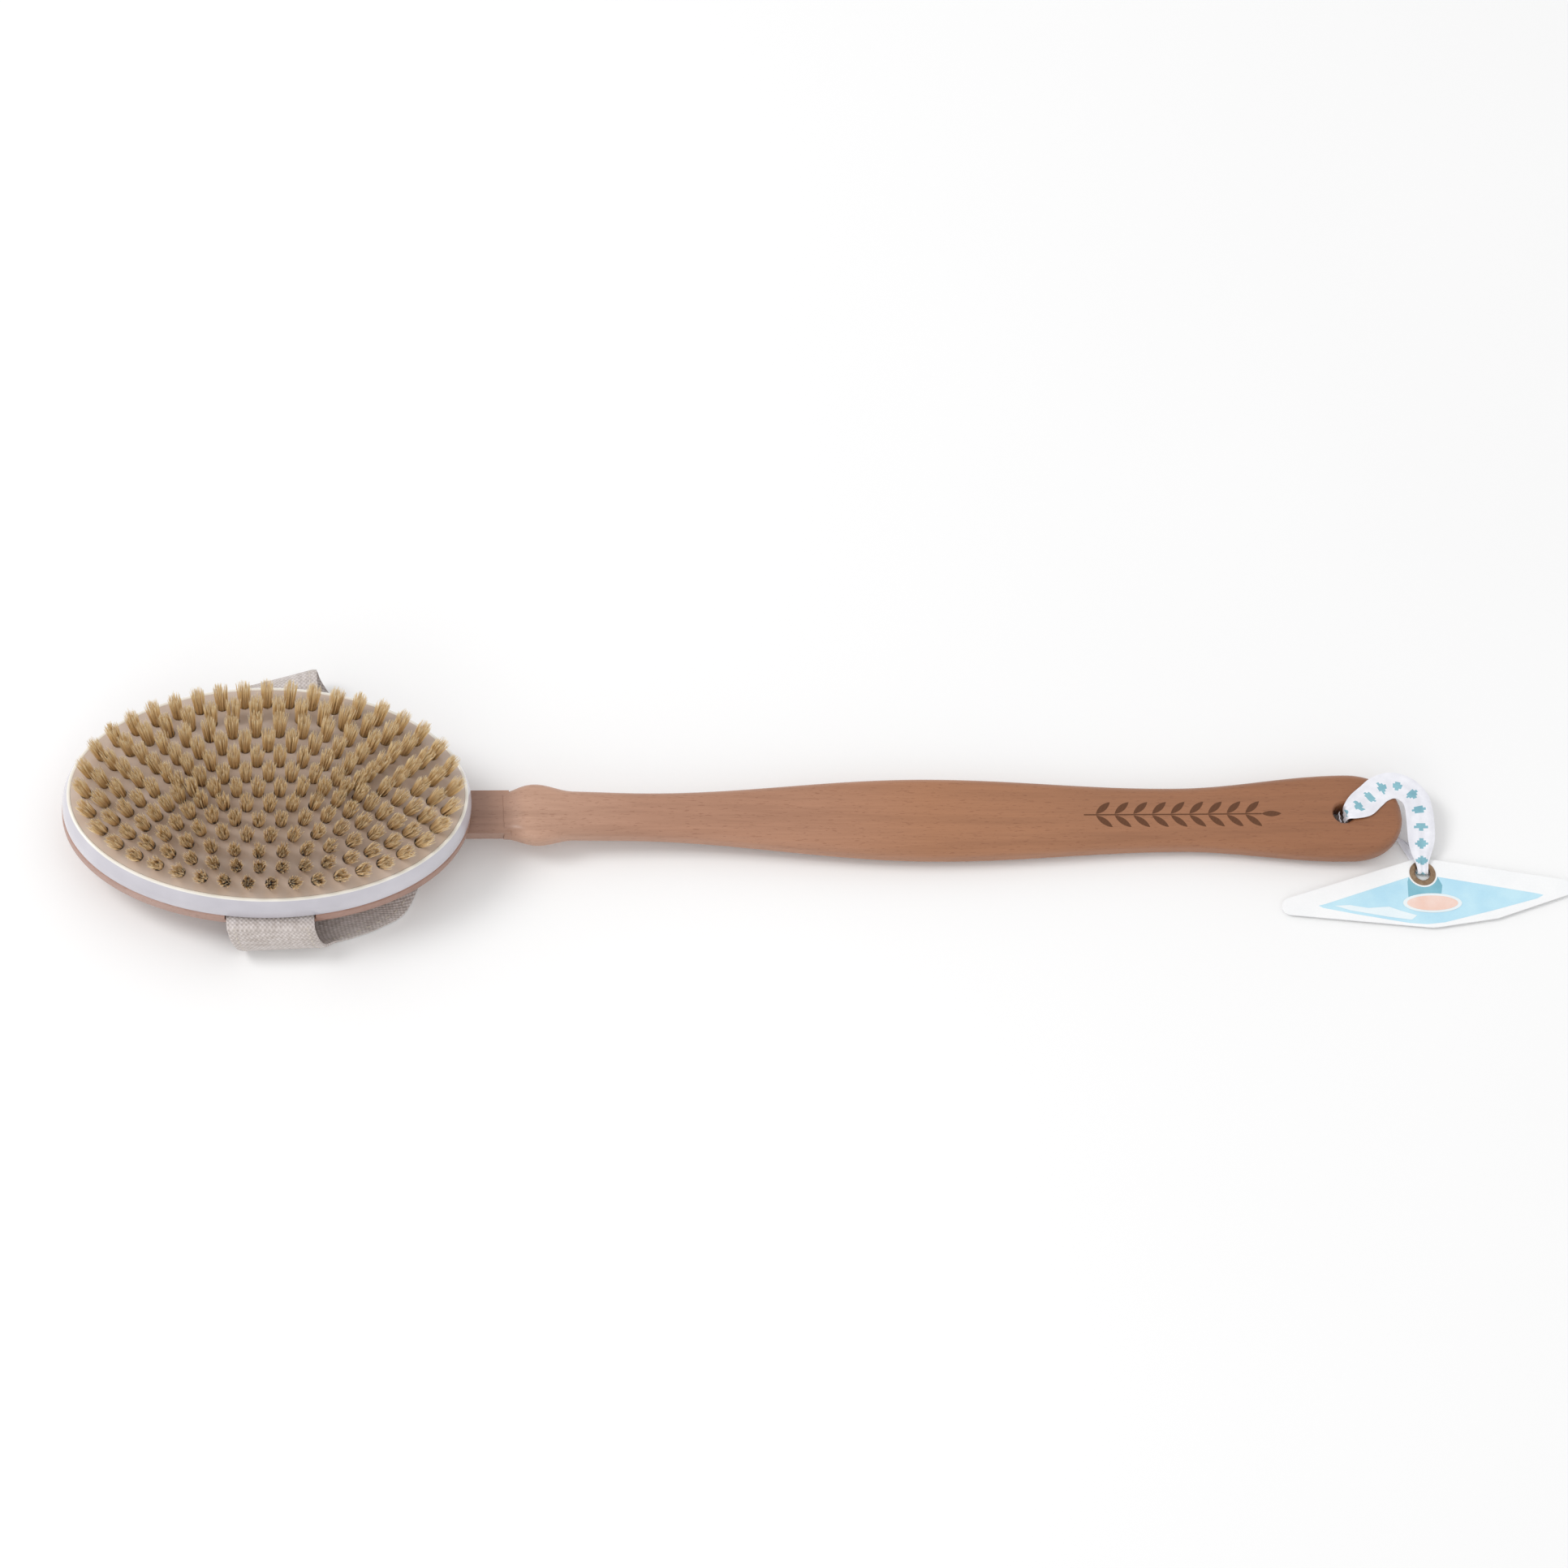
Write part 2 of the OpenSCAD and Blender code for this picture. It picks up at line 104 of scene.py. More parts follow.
# ---------------------------------------------------------------- materials
class Look:
    """A node material around one Principled shader."""

    def __init__(self, name, **sockets):
        self.material = bpy.data.materials.new(name)
        self.material.use_nodes = True
        self.tree = self.material.node_tree
        self.shader = self.tree.nodes["Principled BSDF"]
        for socket, value in sockets.items():
            self.shader.inputs[socket.replace("_", " ")].default_value = value

    def node(self, kind, settings=None, **inputs):
        made = self.tree.nodes.new("ShaderNode" + kind)
        for key, value in (settings or {}).items():
            setattr(made, key, value)
        for key, value in inputs.items():
            self.feed(made, int(key[1:]) if key[0] == "i" and key[1:].isdigit() else key, value)
        return made

    def feed(self, made, key, value):
        socket = made.inputs[key]
        if isinstance(value, bpy.types.Node):
            value = value.outputs[0]
        if isinstance(value, bpy.types.NodeSocket):
            self.tree.links.new(value, socket)
        else:
            socket.default_value = value

    def place(self, stretch=(1, 1, 1)):
        spot = self.node("TexCoord").outputs["Object"]
        return self.node("Mapping", i0=spot, Scale=stretch)

    def surface(self):
        return self.node("TexCoord").outputs["UV"]

    def noise(self, place, scale, detail=4, rough=0.55):
        return self.node("TexNoise", Vector=place, Scale=scale, Detail=detail, Roughness=rough)

    def math(self, how, a, b=0.0, c=None):
        made = self.node("Math", {"operation": how}, i0=a, i1=b)
        if c is not None:
            self.feed(made, 2, c)
        return made

    def ramp(self, value, stops):
        made = self.node("ValToRGB", i0=value)
        edge = made.color_ramp.elements
        while len(edge) < len(stops):
            edge.new(0.5)
        for element, (position, colour) in zip(edge, stops):
            element.position = position
            element.color = (*colour, 1)
        return made

    def mix(self, share, a, b, how="MIX"):
        made = self.node("Mix", {"data_type": "RGBA", "blend_type": how})
        self.feed(made, "Factor", share)
        for key, value in ((6, a), (7, b)):
            self.feed(made, key, value if not isinstance(value, tuple) else (*value, 1))
        return made.outputs[2]

    def shade(self, share, tone, value, stops):
        """Multiplies a tone by a ramp over a value."""
        return self.mix(share, tone, self.ramp(value, stops).outputs[0], "MULTIPLY")

    def bump(self, height, distance, strength=1.0):
        made = self.node("Bump", Height=height, Distance=distance, Strength=strength)
        self.tree.links.new(made.outputs[0], self.shader.inputs["Normal"])

    def paint(self, colour):
        self.feed(self.shader, "Base Color", colour)

    def gloss(self, value, low, high):
        spread = self.node("MapRange", Value=value)
        self.feed(spread, "To Min", low)
        self.feed(spread, "To Max", high)
        self.feed(self.shader, "Roughness", spread)


def wood(name, tones, start, end, coat):
    """Lacquered beech with its grain along X. The tone runs from start to end along X."""
    look = Look(name, Coat_Weight=coat, Coat_Roughness=0.25)
    spot = look.node("TexCoord").outputs["Object"]
    split = look.node("SeparateXYZ", i0=spot)
    along = look.node("MapRange", Value=split.outputs[0])
    look.feed(along, "From Min", start)
    look.feed(along, "From Max", end)
    base = look.ramp(along, tones)
    warp = look.noise(look.place((3, 20, 20)), 3, 3)
    bands = look.noise(look.node("Mapping", i0=spot, Scale=(7, 150, 150)), 1.6, 5, 0.6)
    fine = look.noise(look.node("Mapping", i0=spot, Scale=(60, 1500, 1500)), 1, 3)
    flecks = look.noise(look.node("Mapping", i0=spot, Scale=(420, 2600, 2600)), 1, 1)
    tone = look.shade(0.55, base.outputs[0], bands, [
        (0.3, (0.72, 0.68, 0.64)), (0.55, (1, 1, 1)), (0.75, (1.0, 0.98, 0.95))
    ])
    tone = look.shade(0.35, tone, fine, [
        (0.3, (0.8, 0.76, 0.72)), (0.6, (1, 1, 1))
    ])
    tone = look.shade(0.5, tone, flecks, [
        (0.3, (0.62, 0.5, 0.42)), (0.38, (1, 1, 1))
    ])
    tone = look.shade(0.25, tone, warp, [
        (0.3, (0.86, 0.8, 0.76)), (0.7, (1, 1, 1))
    ])
    look.paint(tone)
    look.gloss(fine, 0.38, 0.52)
    look.bump(fine, 0.00004, 0.5)
    return look.material


def glossy(name, colour, shade, rough=0.16):
    """Glossy lacquer or plastic with a faint mottling and orange peel."""
    look = Look(name, Coat_Weight=0.5, Coat_Roughness=0.08)
    cloud = look.noise(look.place(), 55, 3)
    peel = look.noise(look.place(), 700, 2)
    look.paint(look.ramp(cloud, [(0.35, shade), (0.65, colour)]))
    look.gloss(cloud, rough, rough + 0.1)
    look.bump(peel, 0.00003, 0.4)
    return look.material


def metal(name, colour, shade, rough):
    look = Look(name, Metallic=1.0)
    wear = look.noise(look.place(), 900, 4)
    look.paint(look.ramp(wear, [(0.3, shade), (0.7, colour)]))
    look.gloss(wear, rough, rough + 0.15)
    look.bump(wear, 0.00002, 0.4)
    return look.material


def canvas():
    """Plain-woven cotton. UV is in metres: U across the strap, V along it."""
    look = Look("canvas", Sheen_Weight=0.25, Sheen_Roughness=0.5)
    split = look.node("SeparateXYZ", i0=look.surface())
    turn = 2 * math.pi / 0.0014
    warp = look.math("SINE", look.math("MULTIPLY", split.outputs[0], turn))
    weft = look.math("SINE", look.math("MULTIPLY", split.outputs[1], turn))
    weave = look.math("MULTIPLY", warp, weft)
    level = look.math("MULTIPLY_ADD", weave, 0.5, 0.5)
    slub = look.noise(look.node("Mapping", i0=look.surface(), Scale=(900, 120, 1)), 1, 4)
    slub_b = look.noise(look.node("Mapping", i0=look.surface(), Scale=(120, 900, 1)), 1, 4)
    stain = look.noise(look.place(), 60, 4)
    tone = look.mix(level, (0.54, 0.485, 0.465), (0.8, 0.74, 0.725))
    tone = look.shade(0.6, tone, slub, [
        (0.35, (0.7, 0.67, 0.64)), (0.6, (1, 1, 1))])
    tone = look.shade(0.6, tone, slub_b, [
        (0.35, (0.72, 0.69, 0.65)), (0.6, (1, 1, 1))])
    tone = look.shade(0.5, tone, stain, [
        (0.3, (0.86, 0.83, 0.8)), (0.7, (1, 1, 1))])
    look.paint(tone)
    look.gloss(slub, 0.82, 0.95)
    look.bump(look.math("ADD", level, look.math("MULTIPLY", slub, 0.6)), 0.00025, 0.9)
    return look.material


def ridged(name, shade, colour):
    """A dull surface with fine ridges."""
    look = Look(name, Specular_IOR_Level=0.2)
    twist = look.node("TexWave", Vector=look.place(), Scale=900.0)
    look.paint(look.ramp(twist, [(0.2, shade), (0.8, colour)]))
    look.gloss(twist, 0.6, 0.8)
    look.bump(twist, 0.00005, 0.6)
    return look.material


def bristle():
    """Natural bristle. V runs from root to tip, and U is a number that is each bristle's own."""
    look = Look("bristle", Sheen_Weight=0.15)
    split = look.node("SeparateXYZ", i0=look.surface())
    body = look.ramp(split.outputs[1], [
        (0.0, (0.8, 0.57, 0.28)), (0.35, (0.95, 0.71, 0.38)),
        (0.8, (0.97, 0.78, 0.46)), (1.0, (0.98, 0.88, 0.66)),
    ])
    own = look.ramp(split.outputs[0], [
        (0.0, (0.7, 0.62, 0.52)), (0.25, (0.95, 0.93, 0.9)), (1.0, (1.0, 1.0, 1.0))
    ])
    fleck = look.noise(look.place(), 1200, 2)
    tone = look.mix(1.0, body.outputs[0], own.outputs[0], "MULTIPLY")
    tone = look.shade(0.3, tone, fleck, [
        (0.3, (0.7, 0.66, 0.6)), (0.7, (1, 1, 1))])
    look.paint(tone)
    look.gloss(fleck, 0.42, 0.6)
    return look.material


def satin(name, colour, shade):
    """Satin weave. UV is in metres: U across the ribbon, V along it."""
    look = Look(name, Sheen_Weight=0.5, Sheen_Roughness=0.35, Anisotropic=0.5)
    split = look.node("SeparateXYZ", i0=look.surface())
    thread_wave = look.math("SINE", look.math("MULTIPLY", split.outputs[1], 2 * math.pi / 0.0004))
    cloud = look.noise(look.place(), 260, 3)
    look.paint(look.ramp(cloud, [(0.35, shade), (0.65, colour)]))
    look.gloss(cloud, 0.3, 0.42)
    look.bump(look.math("ADD", thread_wave, look.math("MULTIPLY", cloud, 6.0)), 0.00003, 0.5)
    return look.material


def card(name, colour, shade, rough=0.4):
    """Coated card or the print on it."""
    look = Look(name, Coat_Weight=0.25, Coat_Roughness=0.2)
    fibre = look.noise(look.place(), 1500, 4)
    cloud = look.noise(look.place(), 90, 3)
    tone = look.ramp(cloud, [(0.35, shade), (0.65, colour)])
    look.paint(look.mix(0.2, tone.outputs[0], look.ramp(fibre, [
        (0.35, (0.9, 0.9, 0.9)), (0.6, (1, 1, 1))]).outputs[0], "MULTIPLY"))
    look.gloss(fibre, rough, rough + 0.12)
    look.bump(fibre, 0.00002, 0.4)
    return look.material


# The ramp's first stops, to 0.045, make the tongue next to the head darker: painted shadow of the
# head. Past them the tone darkens towards the handle's end.
HANDLE_WOOD_AND_SHADOW = wood(
    "handle_wood",
    [(0.0, (0.33, 0.185, 0.13)), (0.025, (0.4, 0.23, 0.16)), (0.045, (0.53, 0.315, 0.22)),
     (0.17, (0.44, 0.23, 0.145)), (0.35, (0.43, 0.21, 0.12)),
     (0.48, (0.4, 0.178, 0.084)), (0.7, (0.355, 0.153, 0.07)), (0.87, (0.325, 0.132, 0.056)),
     (1.0, (0.31, 0.122, 0.05))],
    -0.085, 0.215, 0.3,
)
BOARD_WOOD = wood(
    "board_wood",
    [(0.0, (0.42, 0.25, 0.2)), (0.2, (0.46, 0.3, 0.25)), (0.5, (0.4, 0.23, 0.18)),
     (1.0, (0.34, 0.19, 0.14))],
    -0.216, -0.089, 0.2,
)
# The block's white lacquer in a grey tone: painted shade of its wall.
WHITE_IN_PAINTED_SHADE = glossy("white_block", (0.59, 0.57, 0.62), (0.52, 0.5, 0.55))
# A lighter, cream copy of the same lacquer for the lip: painted highlight along the rounded rim.
LIP_PAINTED_HIGHLIGHT = glossy("block_lip_painted_highlight", (0.86, 0.83, 0.78), (0.78, 0.75, 0.68))
# A darker tan copy of the same lacquer for the face between the tufts: painted shade.
FACE_PAINTED_SHADE = glossy("tuft_plate_face_painted_shade", (0.6, 0.5, 0.44), (0.48, 0.38, 0.31), 0.35)
BRASS = metal("brass", (0.62, 0.44, 0.22), (0.45, 0.3, 0.14), 0.28)
EYELET_BRASS = metal("eyelet_brass", (0.42, 0.3, 0.2), (0.28, 0.18, 0.11), 0.32)
STEEL = metal("steel", (0.6, 0.6, 0.6), (0.42, 0.42, 0.43), 0.3)
CANVAS, BRISTLE = canvas(), bristle()
THREAD = ridged("stitch_thread", (0.5, 0.44, 0.37), (0.74, 0.68, 0.6))
SATIN = satin("satin", (0.88, 0.88, 0.93), (0.8, 0.8, 0.86))
SATIN_PRINT = satin("satin_print", (0.26, 0.52, 0.6), (0.2, 0.43, 0.52))
CARD = card("card", (0.95, 0.955, 0.96), (0.92, 0.93, 0.94))
PANEL = card("card_panel", (0.56, 0.82, 0.93), (0.47, 0.75, 0.9))
# A darker copy of the panel's blue, painted as the ribbon's shadow and reflection on the card.
RIBBON_SHADOW_AND_REFLECTION = card("card_painted_ribbon_shadow_and_reflection", (0.24, 0.53, 0.64), (0.17, 0.43, 0.54))
WAVE = card("card_wave", (0.85, 0.93, 0.96), (0.78, 0.89, 0.94))
HALO = card("card_halo", (0.86, 0.92, 0.94), (0.78, 0.87, 0.9))
PEACH = card("card_peach", (0.93, 0.74, 0.67), (0.88, 0.6, 0.5))
BURN = ridged("burnt_mark", (0.1, 0.04, 0.02), (0.16, 0.07, 0.035))


# ---------------------------------------------------------------- mesh tools
def mesh_piece(name, points, faces, looks, uvs=None, slots=None, sharp=35):
    """A mesh object at the origin. uvs holds one pair for each point."""
    mesh = bpy.data.meshes.new(name)
    mesh.from_pydata([tuple(p) for p in points], [], faces)
    for look in looks:
        mesh.materials.append(look)
    if slots:
        mesh.polygons.foreach_set("material_index", slots)
    if uvs:
        layer = mesh.uv_layers.new(name="UVMap")
        for loop in mesh.loops:
            layer.data[loop.index].uv = uvs[loop.vertex_index]
    mesh.update()
    mesh.shade_smooth()
    mesh.set_sharp_from_angle(angle=math.radians(sharp))
    piece = bpy.data.objects.new(name, mesh)
    bpy.context.scene.collection.objects.link(piece)
    return piece


def skin(rings):
    """Points and faces of a closed surface through rings of equal length, with flat caps."""
    sides = len(rings[0])
    points = [p for ring in rings for p in ring]
    faces = []
    for i in range(len(rings) - 1):
        for j in range(sides):
            a, b = i * sides + j, i * sides + (j + 1) % sides
            faces.append((a, b, b + sides, a + sides))
    faces.append(tuple(reversed(range(sides))))
    faces.append(tuple(range((len(rings) - 1) * sides, len(rings) * sides)))
    return points, faces


def carve(piece, tool, how="DIFFERENCE"):
    """Applies a boolean with tool to piece, and removes tool."""
    modifier = piece.modifiers.new("cut", "BOOLEAN")
    modifier.operation = how
    modifier.object = tool
    modifier.solver = "EXACT"
    bpy.context.view_layer.update()
    made = bpy.data.meshes.new_from_object(
        piece.evaluated_get(bpy.context.evaluated_depsgraph_get())
    )
    piece.modifiers.clear()
    piece.data = made
    bpy.data.objects.remove(tool)
    made.set_sharp_from_angle(angle=math.radians(30))


def smoothed(rows, steps):
    """Catmull-Rom curve through equal rows of numbers."""
    made = []
    for i in range(len(rows) - 1):
        p0, p1 = rows[max(i - 1, 0)], rows[i]
        p2, p3 = rows[i + 1], rows[min(i + 2, len(rows) - 1)]
        for s in range(steps):
            t = s / steps
            made.append([
                0.5 * (2 * b + (c - a) * t + (2 * a - 5 * b + 4 * c - d) * t * t
                       + (3 * b - a - 3 * c + d) * t ** 3)
                for a, b, c, d in zip(p0, p1, p2, p3)
            ])
    return made + [list(rows[-1])]


def oval_ring(inset, height, sides=OVAL_SIDES):
    """One ring of the head's outline drawn in by inset, at a height, in millimetres."""
    long, wide = HEAD_LENGTH / 2 / MM - inset, HEAD_WIDTH / 2 / MM - inset
    return [
        at_head(long * math.cos(2 * math.pi * j / sides), wide * math.sin(2 * math.pi * j / sides),
                height)
        for j in range(sides)
    ]


def prism(name, outline, start, end):
    """A bar along X with an outline of [y, z] pairs, in millimetres from the head's middle."""
    points, faces = skin([[at_head(x, y, z) for y, z in outline] for x in (start, end)])
    return mesh_piece(name, points, faces, [])


def block_tool(low, high):
    (x0, y0, z0), (x1, y1, z1) = low, high
    return prism("tool", [(y0, z0), (y1, z0), (y1, z1), (y0, z1)], x0, x1)


def lathe(centre, profile, sides=ROUND_SIDES):
    """Points and faces of a closed ring turned about Z, from [radius, height] pairs."""
    count = len(profile)
    points, faces = [], []
    for j in range(sides):
        turn = 2 * math.pi * j / sides
        for radius, height in profile:
            points.append(centre + Vector(
                (radius * math.cos(turn), radius * math.sin(turn), height)) * MM)
    for j in range(sides):
        for i in range(count):
            a, b = j * count + i, j * count + (i + 1) % count
            c, d = (b + count) % (sides * count), (a + count) % (sides * count)
            faces.append((a, d, c, b))
    return points, faces


def disc_tool(x, y, rows, sides=ROUND_SIDES):
    """A solid turned about Z at [x, y] from [radius, height] rows, lowest first."""
    points, faces = skin([
        [at_head(x + r * math.cos(2 * math.pi * j / sides),
                 y + r * math.sin(2 * math.pi * j / sides), z) for j in range(sides)]
        for r, z in rows
    ])
    return mesh_piece("tool", points, faces, [])


# ---------------------------------------------------------------- ribbon, first of the soft pieces
RIBBON_WIDTH, RIBBON_THICKNESS, RIBBON_COLUMNS = 9.5, 0.3, 13
PRINT_PITCH, PRINT_SIZE, PRINT_START, PRINT_END = 5.6, 1.7, 3, 62
RIBBON_ROUTE = [
    [349.3, 0, 5.5, 0.48, 90], [349.3, 0, 9.2, 0.52, 100], [351, 0.6, 10.2, 0.74, 115],
    [354.5, 2.4, 10.1, 1, 130], [358, 5.4, 9.8, 1, 135], [361.5, 8.2, 9.8, 1, 115],
    [366, 9.4, 9.8, 1, 85], [370.2, 8, 9.8, 1, 50], [373, 4.8, 9.5, 1, 24],
    [374, 0.8, 8.5, 1, 8], [374.3, -4, 7, 1, 0], [374.3, -8.5, 5.3, 0.95, 0],
    [374.3, -12, 3.6, 0.74, 0], [374.3, -15, 2.5, 0.48, 0], [374.3, -17.6, 2.2, 0.38, 0],
    [374.3, -18.6, 1.2, 0.36, 0], [374.3, -17.6, 0.2, 0.38, 0], [373.8, -13, 0.2, 0.63, 0],
    [371.5, -8, 0.2, 0.84, -25], [367, -3.5, 0.2, 0.84, -50], [360, -0.8, 0.25, 0.74, -75],
    [353.5, 0, 0.2, 0.53, -90], [350.6, 0, 0.35, 0.48, -90], [348.4, 0, 1.4, 0.48, -90],
    [348, 0, 5.5, 0.48, -90],
]


def band(rows, thickness, columns, ripple):
    """A flat band through rows of [middle, width vector], both in millimetres.

    ripple(share across from -1 to 1, length so far) lifts the band along its normal.
    Returns points, faces, uvs in metres, and the line that it follows.
    """
    last = len(rows) - 1
    rings, uvs, line, so_far = [], [], [], 0.0
    for i, (middle, width) in enumerate(rows):
        along = rows[min(i + 1, last)][0] - rows[max(i - 1, 0)][0]
        across = width.cross(along).normalized()
        if i:
            so_far += (middle - rows[i - 1][0]).length
        line.append(at_head(*middle))
        upper, lower, upper_uv, lower_uv = [], [], [], []
        for k in range(columns):
            share = 2 * k / (columns - 1) - 1
            spot = middle + width * share / 2 + across * ripple(share, so_far)
            edge = 0.55 if k in (0, columns - 1) else 1
            upper.append(at_head(*(spot + across * thickness * edge / 2)))
            lower.append(at_head(*(spot - across * thickness * edge / 2)))
            upper_uv.append((share * width.length / 2 * MM, so_far * MM))
            lower_uv.append((share * width.length / 2 * MM, so_far * MM))
        rings.append(upper + lower[::-1])
        uvs += upper_uv + lower_uv[::-1]
    points, faces = skin(rings)
    return points, faces, uvs, line


def ribbon_ripple(share, so_far):
    """Length folds that fade where the ribbon is flat, and a fine crease across it."""
    crumple = 0.16 + 0.3 * max(0, 1 - abs(so_far - 9) / 7)
    fold = crumple * math.cos(2.5 * math.pi * share + so_far / 9)
    return fold + 0.08 * math.sin(so_far / 1.7 + 3 * share)


ribbon_rows = []
for x, y, z, share, turn in smoothed(RIBBON_ROUTE, 6):
    spread = share * RIBBON_WIDTH
    ribbon_rows.append((
        Vector((x, y, max(z, 0.2))),
        Vector((math.cos(math.radians(turn)), math.sin(math.radians(turn)), 0)) * spread,
    ))
points, faces, uvs, ribbon_line = band(
    ribbon_rows, RIBBON_THICKNESS, RIBBON_COLUMNS, ribbon_ripple)
for point in points:
    point.z = max(point.z, FLOOR_CLEARANCE)
ribbon = mesh_piece("satin_ribbon", points, faces, [SATIN, SATIN_PRINT], uvs, sharp=50)
for polygon in ribbon.data.polygons:
    spots = [uvs[v] for v in polygon.vertices]
    u = sum(s[0] for s in spots) / len(spots) / MM
    v = sum(s[1] for s in spots) / len(spots) / MM
    near = abs((v % PRINT_PITCH) - PRINT_PITCH / 2) + abs(u) * 0.7
    if near < PRINT_SIZE and PRINT_START < v < PRINT_END and len(polygon.vertices) == 4:
        polygon.material_index = 1
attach(ribbon, "paddle")
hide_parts("hanging_ribbon")

# ---------------------------------------------------------------- handle
TONGUE_START, PADDLE_START = 5.5, 74.0
TONGUE_HALF, TONGUE_HEIGHT, UNDERCUT = 7.6, 5.8, 1.0
PADDLE_END, CAP_LENGTH, CAP_POWER = 368.5, 18.0, 2.15
CAP_START = PADDLE_END - CAP_LENGTH
SHOULDER_STEP, SHOULDER_RAMP, EDGE_RADIUS, LOWEST_AT = 0.3, 7.0, 3.4, 287.0
HANDLE_THICKNESS, HANG_HOLE_X, HANG_HOLE_RADIUS = 8.4, 348.5, 3.4
GROOVE_CLEARANCE, GROOVE_HEIGHT = 0.15, 5.95
TONGUE_Z = BOARD_Z / MM + GROOVE_CLEARANCE
PLAN_KEYS = [
    (PADDLE_START, TONGUE_HALF + SHOULDER_STEP), (84.5, 10.1), (96.5, 7.9), (115, 7.7), (213, 14.0),
    (293, 10.7), (CAP_START, 15.0),
]


def eased(a, b, t):
    return a + (b - a) * (1 - math.cos(math.pi * t)) / 2


def half_width(x):
    if x > CAP_START:
        share = min((x - CAP_START) / CAP_LENGTH, 1)
        return PLAN_KEYS[-1][1] * (1 - share ** CAP_POWER) ** (1 / CAP_POWER)
    for (x0, w0), (x1, w1) in zip(PLAN_KEYS, PLAN_KEYS[1:]):
        if x <= x1:
            return eased(w0, w1, (x - x0) / (x1 - x0))
    return PLAN_KEYS[-1][1]


def underside(x):
    return (TONGUE_Z - SHOULDER_STEP) * ((x - LOWEST_AT) / (LOWEST_AT - PADDLE_START)) ** 2


def thickness_at(x):
    start = TONGUE_HEIGHT + 2 * SHOULDER_STEP
    return eased(start, HANDLE_THICKNESS, min((x - PADDLE_START) / SHOULDER_RAMP, 1))


def handle_ring(x):
    wide = half_width(x)
    from_tip = min(PADDLE_END - x, EDGE_RADIUS)
    rounding = EDGE_RADIUS - math.sqrt(EDGE_RADIUS ** 2 - (EDGE_RADIUS - from_tip) ** 2)
    tall = thickness_at(x) / 2 - rounding
    middle = underside(x) + thickness_at(x) / 2
    r = min(EDGE_RADIUS, wide, tall) * 0.98
    ring = []
    for sy, sz, start in ((1, 1, 0), (-1, 1, 90), (-1, -1, 180), (1, -1, 270)):
        for step in range(11):
            turn = math.radians(start + 9 * step)
            ring.append(at_head(
                x, sy * (wide - r) + r * math.cos(turn),
                middle + sz * (tall - r) + r * math.sin(turn)))
    return ring


stations = [PADDLE_START + (CAP_START - PADDLE_START) * i / 150 for i in range(151)]
stations += [CAP_START + CAP_LENGTH * 0.9985 * math.sin(math.pi / 2 * i / 18)
             for i in range(1, 19)]
points, faces = skin([handle_ring(x) for x in stations])
handle = mesh_piece("paddle_handle", points, faces, [HANDLE_WOOD_AND_SHADOW])
mouth = TONGUE_HALF - UNDERCUT
carve(handle, prism("tongue", [
    (-mouth, TONGUE_Z), (mouth, TONGUE_Z), (TONGUE_HALF, TONGUE_Z + TONGUE_HEIGHT),
    (-TONGUE_HALF, TONGUE_Z + TONGUE_HEIGHT)], TONGUE_START, PADDLE_START + 2), "UNION")
under = underside(HANG_HOLE_X)
top = under + HANDLE_THICKNESS
r = HANG_HOLE_RADIUS
carve(handle, disc_tool(HANG_HOLE_X, 0, [
    (r + 2.2, under - 1), (r + 0.9, under - 0.05), (r + 0.45, under + 0.25),
    (r + 0.12, under + 0.6),
    (r, under + 1), (r, top - 1), (r + 0.12, top - 0.6), (r + 0.45, top - 0.25),
    (r + 0.9, top + 0.05), (r + 2.2, top + 1)]))
handle.data.materials.clear()
handle.data.materials.append(HANDLE_WOOD_AND_SHADOW)
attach(handle, "paddle")
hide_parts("handle")


def leaf(x, y, turn, length, width):
    """A pointed leaf on the handle's top, as a closed loop of points."""
    loop = []
    for side in (1, -1):
        for i in range(9):
            t = i / 9 if side == 1 else 1 - i / 9
            across = side * width / 2 * math.sin(math.pi * t) ** 0.8
            loop.append((x + length * t * math.cos(turn) - across * math.sin(turn),
                         y + length * t * math.sin(turn) + across * math.cos(turn)))
    return loop


def flat_mark(name, loops, height, thickness, look, body):
    """Thin flat shapes. height(x) is the surface in millimetres that they lie on."""
    points, faces = [], []
    for loop in loops:
        part, part_faces = skin([
            [at_head(x, y, height(x) + z) for x, y in loop] for z in (0.004, thickness)
        ])
        faces += [tuple(v + len(points) for v in f) for f in part_faces]
        points += part
    piece = mesh_piece(name, points, faces, [look])
    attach(piece, body)
    return piece


loops = [leaf(321, 0, 0, 6.6, 2)]
for i in range(9):
    for side in (1, -1):
        loops.append(leaf(266 + 6.2 * i, side * 0.3, side * math.radians(40), 6.6, 2.1))
STEM_START, STEM_LENGTH, STEM_STEPS = 262, 59, 24
for i in range(STEM_STEPS):
    a, b = (STEM_START + STEM_LENGTH * k / STEM_STEPS for k in (i, i + 1))
    loops.append([(a, -0.22), (b, -0.22), (b, 0.22), (a, 0.22)])
flat_mark("burnt_sprig", loops, lambda x: underside(x) + HANDLE_THICKNESS, 0.03, BURN,
          "paddle")

